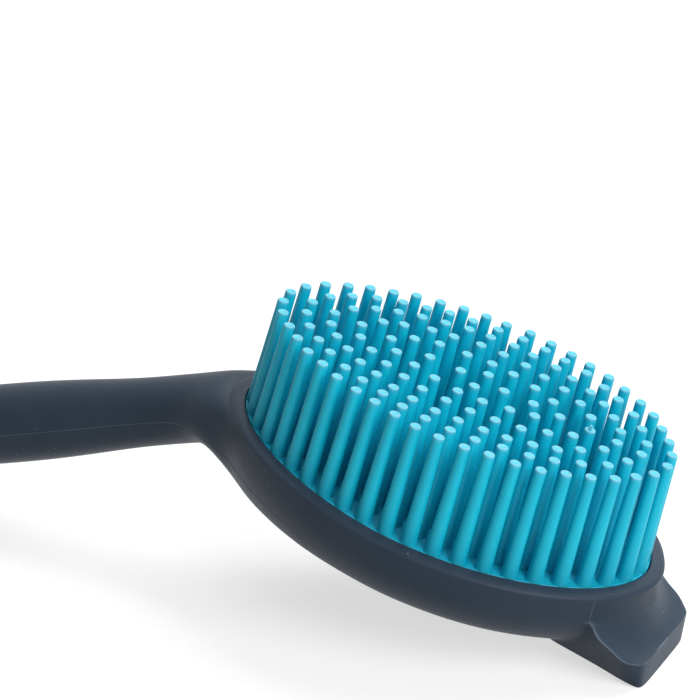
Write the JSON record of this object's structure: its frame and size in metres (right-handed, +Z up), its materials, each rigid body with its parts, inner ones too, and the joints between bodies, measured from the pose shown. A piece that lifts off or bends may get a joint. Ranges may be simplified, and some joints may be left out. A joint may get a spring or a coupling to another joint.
{
  "type": "dish brush",
  "caption": "Dish brush with soft tapered silicone bristles standing in an egg-shaped dark tray, a flat scraper at its tip and a bent-back grip with a hanging hole.",
  "frame": {"origin": "middle of the footprint, on the plane that the brush lies on", "axes": "+X from the handle's end to the scraper, +Y across, +Z up. The brush lies on its back, on the scraper's lower edge and the handle's end, bristles up, so the bristles lean 15 degrees from +Z towards +X"},
  "size_m": [0.2395, 0.071, 0.0706],
  "materials": {
    "slate_silicone": "satin moulded silicone, dark slate blue",
    "teal_silicone": "satin moulded silicone, bright teal, slightly translucent",
    "black_nylon": "moulded nylon, hidden inside the silicone"
  },
  "bodies": {
    "root": {"body_skin": "slate_silicone", "bristle_pad": "teal_silicone", "nylon_core": "black_nylon"}
  },
  "joints": []
}
